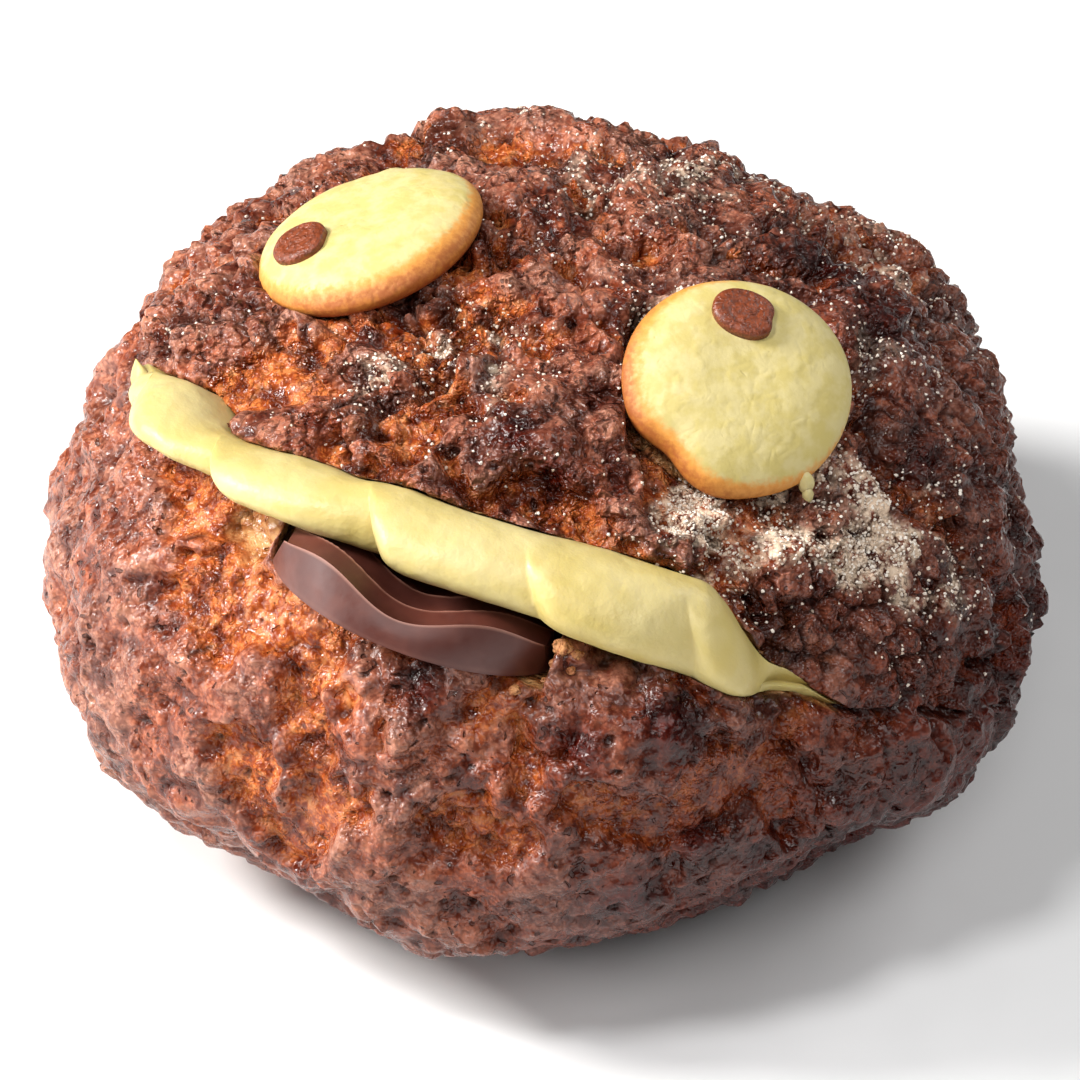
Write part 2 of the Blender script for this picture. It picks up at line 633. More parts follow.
def crust_paint(mottle, grains, pores):
    """Cookie crust over bread: mauve-brown plates, orange-brown cracks, tan crumb where it is torn."""
    shade = Shader("baked_crust")
    plate = shade.attribute("plate")
    crumb = shade.attribute("crumb")
    hollow = shade.attribute("hollow")
    proud = shade.attribute("proud")
    dark = shade.attribute("dark")
    sugar = shade.attribute("sugar")
    clumpy = shade.attribute("clumpy")
    small = shade.group(grains, Size=0.55)["Height"]
    large = shade.span(shade.noise(1.2, 1.0), 0.3, 0.7)
    speck = shade.noise(1.4, 4.0, 0.65)
    patch = shade.span(shade.noise(6.0, 3.0, 0.6), 0.38, 0.6, 0.3, 1.0)
    patch = shade.times(patch, shade.span(clumpy, 0.0, 1.0, 0.4, 1.0))
    lit = shade.plus(shade.times(small, 0.25), shade.times(speck, 0.9))
    cookie = shade.mix(shade.span(lit, 0.3, 0.85), COOKIE_DARK, COOKIE_LIGHT)
    ruddy = shade.group(mottle, Size=8.0, First=WHITE, Second=RUDDY)["Color"]
    cookie = shade.mix(0.8, cookie, ruddy, "MULTIPLY")
    bread = shade.mix(shade.span(lit, 0.35, 0.75), BREAD_DARK, BREAD_LIGHT)
    bread = shade.mix(shade.span(speck, 0.52, 0.7, 0.0, 0.6), bread, BREAD_SPECK)
    edge = shade.plus(plate, shade.span(speck, 0.3, 0.7, -0.45, 0.45))
    skin = shade.mix(shade.span(edge, 0.1, 0.9), bread, cookie)
    skin = shade.mix(shade.span(proud, 0.55, 1.0, 0.0, 0.35), skin, PLATE_TOP)
    skin = shade.mix(dark, skin, BAKED_DARK, "MULTIPLY")
    low = shade.times(shade.span(proud, 0.55, 0.1, 0.0, 0.85), shade.span(clumpy, 0.0, 1.0, 0.9, 1.0))
    skin = shade.mix(low, skin, LOW_DARK, "MULTIPLY")
    skin = shade.mix(shade.span(hollow, 0.1, 0.9, 0.0, 0.85), skin, HOLLOW_DARK)
    pore = shade.group(pores, Size=1.2, Width=0.32)["Pore"]
    open_pore = shade.times(pore, shade.span(plate, 0.3, 0.8, 0.1, 0.75))
    skin = shade.mix(open_pore, skin, PORE_DARK)
    frost = shade.times(shade.span(sugar, 0.1, 0.6, 0.0, 0.85), shade.span(speck, 0.4, 0.58))
    skin = shade.mix(frost, skin, FROST)
    inside = shade.mix(shade.span(speck, 0.38, 0.62), CRUMB_DARK, CRUMB_LIGHT)
    color = shade.mix(crumb, skin, inside)
    rough = shade.plus(shade.span(speck, 0.35, 0.65, 0.13, 0.32), shade.times(plate, 0.06))
    # The relief that is too fine for the mesh, in millimetres.
    relief = shade.times(large, 0.8)
    fine = shade.plus(shade.times(small, 0.34), shade.times(shade.noise(0.3, 1.0), 0.2))
    fine = shade.times(fine, shade.span(plate, 0.2, 0.9, 1.0, 0.5))
    relief = shade.times(shade.plus(relief, fine), patch)
    relief = shade.math("SUBTRACT", relief, shade.times(pore, 0.35))
    return shade.finish(color, rough, shade.bump(relief, 1.0), Specular_IOR_Level=0.36)


def cream_paint(mottle):
    shade = Shader("yellow_cream")
    color = shade.group(mottle, Size=12.0, First=(0.57, 0.45, 0.15), Second=(0.63, 0.52, 0.23))["Color"]
    rough = shade.span(shade.noise(3.0, 3.0), 0.3, 0.7, 0.36, 0.54)
    normal = shade.bump(shade.noise(2.4, 4.0), 0.25)
    return shade.finish(color, rough, normal, Subsurface_Weight=0.15, Subsurface_Scale=1.0,
                        Subsurface_Radius=(0.004, 0.003, 0.0012))


def crumb_paint(mottle, grains):
    shade = Shader("bread_crumb")
    color = shade.group(mottle, Size=0.9, First=paint(150, 84, 44), Second=paint(206, 146, 92))["Color"]
    return shade.finish(color, 0.6, shade.bump(shade.group(grains, Size=0.5)["Height"], 0.2))


def biscuit_paint(mottle, grains, pores):
    shade = Shader("pale_biscuit")
    fine = shade.noise(0.7, 4.0, 0.6)
    brown = shade.plus(shade.attribute("brown"), shade.span(fine, 0.3, 0.7, -0.1, 0.1))
    pale = shade.group(mottle, Size=2.2, First=(0.56, 0.455, 0.15), Second=(0.62, 0.52, 0.23))["Color"]
    golden = shade.mix(shade.span(brown, 0.1, 0.55), pale, paint(216, 146, 62))
    baked = shade.mix(shade.span(brown, 0.45, 1.0), golden, paint(160, 84, 28))
    pore = shade.group(pores, Size=2.6, Width=0.1)["Pore"]
    soft = shade.group(grains, Size=1.8)["Height"]
    normal = shade.bump(shade.math("SUBTRACT", soft, pore), 0.05)
    normal = shade.bump(fine, 0.05, normal)
    return shade.finish(baked, shade.span(fine, 0.3, 0.7, 0.5, 0.68), normal)


def chocolate_paint(mottle):
    shade = Shader("moulded_chocolate")
    body = shade.group(mottle, Size=6.0, First=paint(80, 38, 30), Second=paint(96, 49, 38))["Color"]
    color = shade.mix(shade.attribute("edge"), body, paint(156, 108, 92))
    rough = shade.span(shade.noise(1.2, 3.0), 0.3, 0.7, 0.4, 0.5)
    normal = shade.bump(shade.noise(0.8, 3.0), 0.02)
    return shade.finish(color, rough, normal, Specular_IOR_Level=0.6)


def drop_paint(mottle, grains):
    shade = Shader("milk_chocolate_drop")
    color = shade.group(mottle, Size=0.6, First=paint(100, 44, 20), Second=paint(132, 62, 32))["Color"]
    rough = shade.span(shade.noise(0.8, 3.0), 0.3, 0.7, 0.36, 0.5)
    return shade.finish(color, rough, shade.bump(shade.group(grains, Size=0.5)["Height"], 0.07))


def sugar_paint(mottle):
    shade = Shader("sugar")
    color = shade.group(mottle, Size=1.0, First=(0.6, 0.47, 0.36), Second=(0.92, 0.84, 0.74))["Color"]
    return shade.finish(color, shade.span(shade.noise(0.5, 2.0), 0.3, 0.7, 0.15, 0.3))


# ---- the frame of the cut: x across the mouth, y inwards, z out of its plane ----

def cut_axes():
    tilt = math.radians(CUT_TILT)
    turn = math.radians(CUT_TURN)
    across = np.array((math.cos(turn), -math.sin(turn), 0.0))
    inward = np.array((math.cos(tilt) * math.sin(turn), math.cos(tilt) * math.cos(turn), -math.sin(tilt)))
    return np.stack([across, inward, np.cross(across, inward)])


CUT_AXES = cut_axes()
MIDDLE = np.array((0.0, 0.0, BUN_MIDDLE))


def cut_point(angle, reach, height):
    """World points from the angle round the cut, the distance from the bun's middle and the height."""
    turn = np.radians(angle)
    local = np.stack(np.broadcast_arrays(reach * np.sin(turn), -reach * np.cos(turn), height), axis=-1)
    return local @ CUT_AXES + MIDDLE


# ---- the bun ----

def way_to(azimuth, elevation):
    """The unit direction at an azimuth, from the front towards +X, and an elevation, in degrees."""
    turn = math.radians(azimuth)
    rise = math.radians(elevation)
    return np.array((math.sin(turn) * math.cos(rise), -math.cos(turn) * math.cos(rise), math.sin(rise)))


def smooth_reach(ways):
    """Distance from the bun's middle to its smooth outer form, along unit directions."""
    rise = np.where(ways[..., 2] > 0.0, BUN_RISE, BUN_DROP)
    around = np.hypot(ways[..., 0], ways[..., 1]) / BUN_RADIUS
    return (around ** BUN_FULLNESS + (np.abs(ways[..., 2]) / rise) ** BUN_FULLNESS) ** (-1.0 / BUN_FULLNESS)


def near_spot(ways, azimuth, elevation, spread):
    """1 at a direction, falling off to 0 within about twice the spread in degrees."""
    apart = np.degrees(np.arccos(np.clip(ways @ way_to(azimuth, elevation), -1.0, 1.0)))
    return np.exp(-((apart / spread) ** 2))


def swelling(ways):
    """How far the crust swells out past the smooth form, or in from it, along unit directions."""
    height = np.zeros(len(ways))
    for azimuth, elevation, spread, rise in SWELLINGS:
        height += rise * near_spot(ways, azimuth, elevation, spread)
    return height


def back_cracks():
    """Cracks for the sides and back that the mouth doesn't face, turned by the golden angle each time."""
    cracks = []
    for index in range(BACK_CRACKS):
        azimuth = 112 + (index * GOLDEN_ANGLE) % 146
        elevation = -32 + 92 * (index + 0.5) / BACK_CRACKS
        lean = 40 * math.sin(index * 2.4)
        rise = 17 * math.cos(index * 1.7)
        cracks.append((azimuth, elevation, azimuth + lean, elevation + rise, 1.8 + (index % 3) * 0.5))
    return cracks


def down_to_base(ways, reach):
    """Points at those distances from the bun's middle, but none below its flat base."""
    floor = np.where(ways[:, 2] < -1e-6, BUN_MIDDLE / np.maximum(-ways[:, 2], 1e-6), 1e9)
    return MIDDLE + ways * np.minimum(reach, floor)[:, None]


def smooth_bun():
    """The bun's smooth outer form with its swellings, as a closed mesh."""
    work = bmesh.new()
    bmesh.ops.create_icosphere(work, subdivisions=7, radius=1.0)
    mesh = bpy.data.meshes.new("bun")
    work.to_mesh(mesh)
    work.free()
    ways = points_of(mesh) * MM
    ways /= np.linalg.norm(ways, axis=1)[:, None]
    move_points(mesh, down_to_base(ways, smooth_reach(ways) + swelling(ways)))
    piece = bpy.data.objects.new("bun_crust", mesh)
    bpy.context.scene.collection.objects.link(piece)
    return piece


def cut_bun():
    """The smooth bun with the mouth cut in it and the seats of the biscuits, in even small faces."""
    piece = smooth_bun()
    seats = ("cream_filling", "left_eye_biscuit", "right_eye_biscuit")
    cutters = [cad_copy(node, CUTTER_GROW) for node in seats]
    cutters.append(tongue_hollow())
    for cutter in cutters:
        cut = piece.modifiers.new("cut", "BOOLEAN")
        cut.operation = "DIFFERENCE"
        cut.solver = "EXACT"
        cut.object = cutter
    even = piece.modifiers.new("even", "REMESH")
    even.mode = "VOXEL"
    even.voxel_size = CRUST_VOXEL * MM
    settled(piece)
    for cutter in cutters:
        bpy.data.objects.remove(cutter)
    return piece


def line_gap(points, line):
    """Distance of points on the smooth form from a line drawn on it between two directions."""
    ends = [way_to(*line[:2]), way_to(*line[2:4])]
    start, end = (way * smooth_reach(way) for way in ends)
    along = end - start
    part = np.clip((points - start) @ along / (along @ along), 0.0, 1.0)
    spot = start + part[:, None] * along
    ways = spot / np.linalg.norm(spot, axis=1)[:, None]
    return np.linalg.norm(ways * smooth_reach(ways)[:, None] - points, axis=1)


def plate_gap(points, ways, lid):
    """How far each point lies inside a plate of cookie crust, below 0 where bread shows, in mm."""
    on_form = wobble(wobble(ways * smooth_reach(ways)[:, None], 6.0, 1.9, 11), 1.8, 0.6, 21)
    gap = np.full(len(points), 99.0)
    for crack in CRACKS + back_cracks():
        gap = np.minimum(gap, line_gap(on_form, crack) - CRACK_WIDTH * crack[4])
    near, far, _ = cell_noise(wobble(points, 7.0, 2.2, 41), PLATE_SIZE, 45)
    torn = soft_noise(points, 17.0, 51)
    opened = np.where(torn > 0.1, 0.8 * np.minimum(1.0, (torn - 0.1) * 5.0), -3.0)
    gap = np.minimum(gap, (far - near) * 5.0 - opened)
    for azimuth, elevation, spread, cover, _ in PATCHES:
        gap = gap + 0.75 * cover * near_spot(ways, azimuth, elevation, spread)
    ragged = 1.7 * soft_noise(points, 6.5, 53) + 1.5 * soft_noise(points, 3.0, 55)
    ragged += 0.9 * soft_noise(points, 1.5, 57)
    return gap + 0.3 + ragged * (0.9 + 0.3 * lid)


def ledges(points):
    """Steps in the crust along winding lines, and how near each point is to the foot of one."""
    height = np.zeros(len(points))
    foot = np.zeros(len(points))
    for size, step, seed in LEDGES:
        field = soft_noise(wobble(points, size * 0.4, size * 0.11, seed + 3), size, seed)
        present = smoothstep(-0.35, 0.25, soft_noise(points, size * 1.3, seed + 7))
        height += step * present * (smoothstep(-0.045, 0.045, field) - 0.5)
        foot = np.maximum(foot, present * np.exp(-(((field + 0.06) / 0.05) ** 2)))
    return height, foot


def holes_in(points, spacing, seed, rarest, width, rim, foot):
    """1 in scattered holes of uneven width and 0 between them; spots numbered below rarest have none."""
    near, _, number = cell_noise(points, spacing, seed)
    size = width * smoothstep(rarest, 1.0, number)
    return smoothstep(size + rim, size * foot, near) * (number > rarest)


def darkness(ways):
    """How dark the crust baked, from 0 to 1."""
    dark = smoothstep(-0.35, 0.85, ways @ np.array(SHADED))
    for azimuth, elevation, spread in DARK_SPOTS:
        dark = np.maximum(dark, near_spot(ways, azimuth, elevation, spread))
    return dark


def sugar_cover(points, ways, lid, skin):
    """How thick the sugar lies: in clusters, and thinly on the rest of the lid."""
    sugar = np.zeros(len(points))
    for azimuth, elevation, spread, strength in SUGAR_SPOTS:
        sugar += strength * near_spot(ways, azimuth, elevation, spread)
    patchy = smoothstep(-0.2, 0.45, layered_noise(points, 4.0, 3, 141))
    above_base = smoothstep(1.0, 4.0, points[:, 2])
    return (sugar * (0.25 + 0.9 * patchy) + 0.06 * lid * patchy) ** 1.3 * skin * above_base


def cookie_plates(points, ways, lid):
    """Where cookie covers the bread, from 0 to 1, and how high the plates and patches rise."""
    gap = plate_gap(points, ways, lid)
    rise = PLATE_RISE * (1.0 - np.exp(-np.maximum(gap + 0.4, 0.0) / 0.9)) - 0.35 * smoothstep(0.3, -1.8, gap)
    for azimuth, elevation, spread, _, swell in PATCHES:
        rise += swell * near_spot(ways, azimuth, elevation, spread)
    return smoothstep(-0.6, 0.9, gap), rise


def lumpiness(points, rough, lid, plate):
    """Height of the lumps, clumps, nodules and grit, the crevices between clumps, and what stands out."""
    small_lumps = layered_noise(points, SMALL_LUMP_SIZE, 2, 71)
    lumps = LUMP_RISE * layered_noise(points, LUMP_SIZE, 2, 61) + (0.7 + 0.6 * rough) * small_lumps
    clump_near, clump_far, _ = cell_noise(wobble(points, 3.0, 0.9, 81), CLUMP_SIZE, 83)
    clumps = (0.25 + 0.5 * rough * (0.6 + 0.4 * lid)) * (0.55 - clump_near ** 2)
    crevice = smoothstep(0.3, 0.0, clump_far - clump_near)
    crevice = crevice * smoothstep(-0.1, 0.5, soft_noise(points, 6.0, 87))
    nodule_near, _, nodule_size = cell_noise(wobble(points, 1.4, 0.35, 91), NODULE_SIZE, 93)
    nodules = (0.15 + 0.35 * rough) * (0.6 - nodule_near ** 2) * (0.3 + 1.1 * nodule_size)
    grit = (0.16 + 0.16 * rough) * soft_noise(points, GRIT_SIZE, 97)
    height = lumps * (0.55 + 0.45 * plate) + clumps * (0.5 + 0.5 * plate) + nodules + grit
    proud = 0.5 + 0.5 * small_lumps + 0.9 * (0.45 - nodule_near)
    return height, crevice, proud


def pits_and_holes(points, lid):
    """1 in the small pits and in the lid's deeper holes, and 0 around them."""
    flat = wobble(points * np.array((1.0, 1.0, 1.7)), 2.2, 0.8, 101)
    pits = holes_in(flat, PIT_SPACING, seed=103, rarest=0.25, width=0.3, rim=0.06, foot=0.35)
    bent = wobble(points, 2.0, 0.7, 111)
    holes = holes_in(bent, HOLE_SPACING, seed=113, rarest=0.4, width=0.27, rim=0.07, foot=0.4)
    return pits, lid * holes


def slit_and_tear(points, ways):
    """1 along the closed end of the cut, and 1 in the crumb torn open beside the tongue."""
    on_form = wobble(ways * smooth_reach(ways)[:, None], 4.0, 0.7, 115)
    slit = smoothstep(0.55, 0.15, line_gap(on_form, SLIT))
    tear_gap = np.linalg.norm(points - np.array(TEAR_AT), axis=1) + 1.1 * soft_noise(points, 2.5, 117)
    return slit, smoothstep(TEAR_SIZE + 0.5, TEAR_SIZE - 0.5, tear_gap)


def baked(piece):
    """Raises the cookie plates, opens the cracks and roughens the crust, and notes what is where."""
    mesh = piece.data
    points = points_of(mesh)
    offset = points - MIDDLE
    length = np.linalg.norm(offset, axis=1)
    ways = offset / length[:, None]
    depth = smooth_reach(ways) + swelling(ways) - length
    on_base = (points[:, 2] < 0.25) & (np.hypot(points[:, 0], points[:, 1]) < BASE_FLAT)
    skin = 1.0 - smoothstep(*SKIN_DEPTHS, depth)
    lid = smoothstep(1.0, 9.0, offset @ CUT_AXES[2] + 2.0 * soft_noise(points, 9.0, 3))
    rough = np.maximum(lid, 0.3 + 0.5 * smoothstep(-0.3, 0.3, soft_noise(points, 16.0, 5)))
    plate, rise = cookie_plates(points, ways, lid)
    steps, foot = ledges(points)
    lumps, crevice, proud = lumpiness(points, rough, lid, plate)
    pits, holes = pits_and_holes(points, lid)
    slit, tear = slit_and_tear(points, ways)

    height = rise + steps * rough + lumps
    height -= (0.5 + 0.25 * lid) * crevice + 0.35 * foot * rough
    height -= PIT_DEPTH * pits * (0.4 + 0.6 * plate) + HOLE_DEPTH * holes
    height -= SLIT_DEPTH * slit + TEAR_DEPTH * tear + CRUST_SINK
    warp = 1.0 - smoothstep(0.0, WARP_DEPTH, depth)
    crumb = np.maximum(1.0 - skin, tear)
    crumb_near, _, _ = cell_noise(wobble(points, 2.0, 0.5, 121), 1.6, 123)
    crumb_relief = crumb * (0.9 * (crumb_near - 0.5) + 0.35 * layered_noise(points, 1.6, 2, 131))
    moved = down_to_base(ways, length + warp * height)
    moved += normals_of(mesh) * (crumb_relief * warp)[:, None]
    moved[on_base] = points[on_base]
    moved[:, 2] = np.maximum(moved[:, 2], 0.0)
    move_points(mesh, moved)

    hollow = 0.9 * pits + holes + 0.8 * crevice * (0.5 + 0.5 * lid) + 0.6 * foot * rough + slit
    store(mesh, "clumpy", lid)
    store(mesh, "plate", plate)
    store(mesh, "crumb", crumb)
    store(mesh, "hollow", np.clip(hollow, 0.0, 1.0))
    store(mesh, "proud", np.clip(proud, 0.0, 1.0))
    store(mesh, "dark", darkness(ways))
    store(mesh, "sugar", sugar_cover(points, ways, lid, skin))


def thin_out(piece, triangles):
    """Merges small faces where the crust is smooth, down to about that many triangles."""
    count = sum(len(face.vertices) - 2 for face in piece.data.polygons)
    if count > triangles:
        fewer = piece.modifiers.new("fewer", "DECIMATE")
        fewer.ratio = triangles / count
        fewer.use_collapse_triangulate = True
        settled(piece)


def add_bun(material):
    piece = cut_bun()
    baked(piece)
    thin_out(piece, CRUST_TRIANGLES)
    piece.data.materials.clear()
    piece.data.materials.append(material)
    piece.data.polygons.foreach_set("use_smooth", np.ones(len(piece.data.polygons), dtype=bool))
    placed(piece, "bun")
    return piece


# ---- the cream ----

def lobe(angle):
    """How full the piped lobes are at an angle: each swells up fast and slopes down to the next."""
    value = np.full(np.shape(angle), 0.25)
    for start, end in zip(CREAM_CREASES, CREAM_CREASES[1:]):
        along = (angle - start) / (end - start)
        inside = (along >= 0.0) & (along < 1.0)
        part = np.clip(along, 0.0, 1.0)
        full = 0.25 + 0.75 * np.sin(np.minimum(part / 0.22, 1.0) * math.pi / 2.0) ** 0.8 * (1.0 - part ** 2.6)
        value = np.where(inside, full, value)
    shallow = LATE_LOBES * smoothstep(5.0, 35.0, angle)
    return shallow + (1.0 - shallow) * value


def over_tongue(points):
    """Lifts what would lie in the tongue on to its top."""
    local = ((points - MIDDLE) @ CUT_AXES.T - np.array(TONGUE_AT)) @ tongue_spin()
    within = smoothstep(TONGUE_HALF_WIDTH + 2.0, TONGUE_HALF_WIDTH, np.abs(local[:, 0]))
    within = within * smoothstep(-TONGUE_BACK - 2.0, -TONGUE_BACK, local[:, 1])
    lifted = np.maximum(local[:, 2], TONGUE_THICKNESS + 0.75 * WAVE_HEIGHT)
    local[:, 2] += (lifted - local[:, 2]) * within
    return (local @ tongue_spin().T + np.array(TONGUE_AT)) @ CUT_AXES + MIDDLE


def add_cream(material):
    """Piped cream: sections from its inner tip along its top, round its nose and back."""
    angles = np.linspace(MOUTH_LEFT, MOUTH_RIGHT, CREAM_SECTIONS)
    inside = np.linspace(0.0, 0.94, 12)
    swing = np.linspace(0.0, math.pi, 84)
    middle = (MOUTH_LEFT + MOUTH_RIGHT) / 2.0
    half = (MOUTH_RIGHT - MOUTH_LEFT) / 2.0
    aside = np.clip(np.abs(angles - middle) / half, 0.0, 1.0)
    top = through(UPPER_LIP, angles)
    tail = TAIL_GAP * smoothstep(55.0, 62.0, angles) * smoothstep(71.5, 66.0, angles)
    bottom = through(LOWER_LIP, angles) + tail
    centre = (top + bottom) / 2.0
    thick = np.maximum((top - bottom) / 2.0 - CREAM_GAP, 0.25)
    ways = cut_point(angles, 1.0, 0.0) - MIDDLE
    lip = smooth_reach(ways) - CREAM_ROOT
    tip = lip - np.maximum(CUT_DEPTH * np.sqrt(1.0 - aside ** 2), 1.0)
    size = through(CREAM_BULGE, angles)
    root = CREAM_ROOT - TAIL_SINK * smoothstep(53.0, 64.0, angles)
    rings = []
    for index, angle in enumerate(angles):
        out = np.sin(swing)
        round_lobe = lobe(angle + CREASE_SLANT * np.cos(swing))
        bulge = size[index] * (0.15 + 0.85 * round_lobe) * (1.0 - aside[index] ** 4) ** 0.7 + root[index]
        share = 0.04 + 0.96 * inside
        run = tip[index] + (lip[index] - tip[index]) * inside
        reach = np.concatenate([run, lip[index] + bulge * out ** 0.75, run[::-1]])
        nose = thick[index] * np.cos(swing) - CREAM_SAG * (3.4 * round_lobe - 1.3) * out
        rise = np.concatenate([thick[index] * share, nose, -thick[index] * share[::-1]])
        rings.append(cut_point(angle, reach, centre[index] + rise))
    rings = np.array(rings)
    points = over_tongue(stacked(rings))
    faces = ring_faces(len(angles), rings.shape[1])
    piece = add_mesh("cream", points, faces, material)
    uneven = 0.22 * layered_noise(points, 6.0, 2, 301) + 0.05 * soft_noise(points, 1.6, 305)
    move_points(piece.data, points + normals_of(piece.data) * uneven[:, None])
    placed(piece, "cream_filling")


# ---- the tongue ----

def tongue_spin():
    """The turn from the tongue's own axes to those of the cut: its x to the viewer's left, y outwards."""
    turn = Matrix.Rotation(math.radians(TONGUE_TURN), 3, "Z")
    droop = Matrix.Rotation(math.radians(TONGUE_DROOP), 3, "X")
    return np.array(turn @ droop @ Matrix.Rotation(math.pi, 3, "Z"))


def on_the_cream(points):
    """Points in the tongue's own axes, put where it lies."""
    return (points @ tongue_spin().T + np.array(TONGUE_AT)) @ CUT_AXES + MIDDLE


def tongue_front(share):
    """How far forward the underside and the top reach, at a share of the way to one side."""
    low = math.sqrt(TONGUE_RADIUS ** 2 - (TONGUE_HALF_WIDTH * share) ** 2)
    dip = TONGUE_RADIUS - math.sqrt(TONGUE_RADIUS ** 2 - ((TONGUE_HALF_WIDTH - SIDE_DRAFT) * share) ** 2)
    return low, TONGUE_RADIUS - TOP_SET_BACK - dip * TOP_CURVE


def tongue_top(x, behind):
    """Height of the top over the underside, and how near each place is to the edge of a ridge."""
    wave = -WAVE_HEIGHT * np.cos(2.0 * math.pi * x / WAVE_LENGTH)
    along = (behind / RIDGE_PITCH) % 1.0
    climb = np.clip((along - RIDGE_FALL) / (1.0 - RIDGE_FALL), 0.0, 1.0)
    ridge = np.where(along < RIDGE_FALL, 1.0 - along / RIDGE_FALL, climb ** 1.4)
    edge = smoothstep(0.07, 0.0, np.minimum(along, 1.0 - along))
    return TONGUE_THICKNESS + wave - RIDGE_HEIGHT * (1.0 - ridge), edge


def tongue_hollow():
    """What the bun is cut with, to make room for the tongue."""
    top = TONGUE_THICKNESS + WAVE_HEIGHT + CUTTER_GROW + TONGUE_HEADROOM
    back = -TONGUE_BACK - CUTTER_GROW
    rings = []
    for share in np.linspace(1.0, -1.0, 25):
        x = (TONGUE_HALF_WIDTH + CUTTER_GROW) * share
        front = max(tongue_front(share)) + CUTTER_GROW + TONGUE_FOREROOM
        corners = ((front, -CUTTER_GROW), (back, -CUTTER_GROW), (back, top), (front, top))
        rings.append([(x, y, z) for y, z in corners])
    points = on_the_cream(stacked(np.array(rings)))
    return add_mesh("tongue_hollow", points, ring_faces(len(rings), 4), None, smooth=False)


def add_tongue(material):
    columns = 220
    rows = 130
    wall = np.linspace(1.0, 0.0, 14)[1:-1]
    rings = []
    edges = []
    for share in np.linspace(1.0, -1.0, columns):
        low_front, high_front = tongue_front(share)
        x = (TONGUE_HALF_WIDTH - SIDE_DRAFT) * share
        behind = np.linspace(0.0, high_front + TONGUE_BACK, rows)
        height, edge = tongue_top(x, behind)
        top = np.stack([np.full(rows, x), high_front - behind, height], axis=1)[::-1]
        across = behind / (high_front + TONGUE_BACK) * (low_front + TONGUE_BACK)
        low_x = TONGUE_HALF_WIDTH * share
        bottom = np.stack([np.full(rows, low_x), low_front - across, np.zeros(rows)], axis=1)
        swell = 0.25 * np.sin(wall * math.pi)
        front = np.stack([low_x + (x - low_x) * wall, low_front + (high_front - low_front) * wall + swell,
                          height[0] * wall], axis=1)
        rings.append(np.concatenate([bottom, top, front]))
        rim = smoothstep(0.1, 0.0, wall) * 0.7 + smoothstep(0.93, 1.0, wall)
        edges.append(np.concatenate([np.zeros(rows), edge[::-1], rim]))
    rings = np.array(rings)
    edge = np.concatenate([np.array(edges).ravel(), np.zeros(2)])
    faces = ring_faces(columns, rings.shape[1])
    piece = add_mesh("tongue", on_the_cream(stacked(rings)), faces, material, attributes=dict(edge=edge))
    piece.data.set_sharp_from_angle(angle=math.radians(35.0))
    placed(piece, "chocolate_tongue")


# ---- the eyes ----

def eye_axes(eye):
    """A biscuit's own axes: to the right, up its face, and out of it."""
    facing = np.array(eye["faces"]) / np.linalg.norm(eye["faces"])
    right = np.array((1.0, 0.0, 0.0)) - facing * facing[0]
    right /= np.linalg.norm(right)
    return np.stack([right, np.cross(facing, right), facing])


def apart_round(turns, angle):
    """Degrees between each turn, in radians, and an angle in degrees, from -180 to 180."""
    return (np.degrees(turns) - angle + 180.0) % 360.0 - 180.0


def round_ring(turns, radius, height):
    """Points round the z axis; radius and height are one number or one for each turn."""
    return np.stack(np.broadcast_arrays(radius * np.cos(turns), radius * np.sin(turns), height), axis=1)


def biscuit_top(share):
    """Height of a biscuit's domed top at a share of its radius."""
    return BISCUIT_THICKNESS * (0.28 + 0.72 * (1.0 - share ** 3.2) ** 0.62)


def add_biscuit(side, eye, material):
    turns = np.linspace(0.0, 2.0 * math.pi, 180, endpoint=False)
    edge = eye["radius"]
    profile = [(edge * part, 0.0) for part in np.linspace(0.02, 0.9, 20)]
    for bend in np.linspace(0.0, math.pi / 2.0, 10):
        profile.append((edge - 1.1 + 1.1 * math.sin(bend), 1.3 - 1.3 * math.cos(bend)))
    for share in np.cos(np.linspace(0.02, math.pi / 2.0 - 0.02, 56)):
        profile.append((edge * share, biscuit_top(share)))
    outline = 1.0 + 0.012 * np.sin(2.0 * turns + 1.0) + 0.01 * np.sin(3.0 * turns)
    for angle, spread, amount in eye["outline"]:
        outline += amount * np.exp(-((apart_round(turns, angle) / spread) ** 2))
    lean = 0.5 + 0.5 * np.cos(turns - math.radians(eye["browned"]))
    rings = []
    brown = []
    for radius, height in profile:
        share = radius / edge
        rings.append(round_ring(turns, radius * (1.0 + (outline - 1.0) * share), height))
        low = 1.0 - smoothstep(0.4, 2.2, height)
        rim = smoothstep(0.985 - 0.24 * lean, 1.0, share) * (0.2 + 0.7 * lean)
        brown.append(np.maximum(low * (0.55 + 0.45 * lean), rim))
    local = stacked(np.array(rings))
    local[:, 2] += 0.16 * layered_noise(local, 5.0, 3, 401) * smoothstep(0.3, 1.5, local[:, 2])
    points = local @ eye_axes(eye) + np.array(eye["at"])
    brown = np.concatenate([np.array(brown).ravel(), (1.0, 0.0)])
    faces = ring_faces(len(profile), len(turns))
    piece = add_mesh(f"{side}_biscuit", points, faces, material, attributes=dict(brown=brown))
    placed(piece, f"{side}_eye_biscuit")


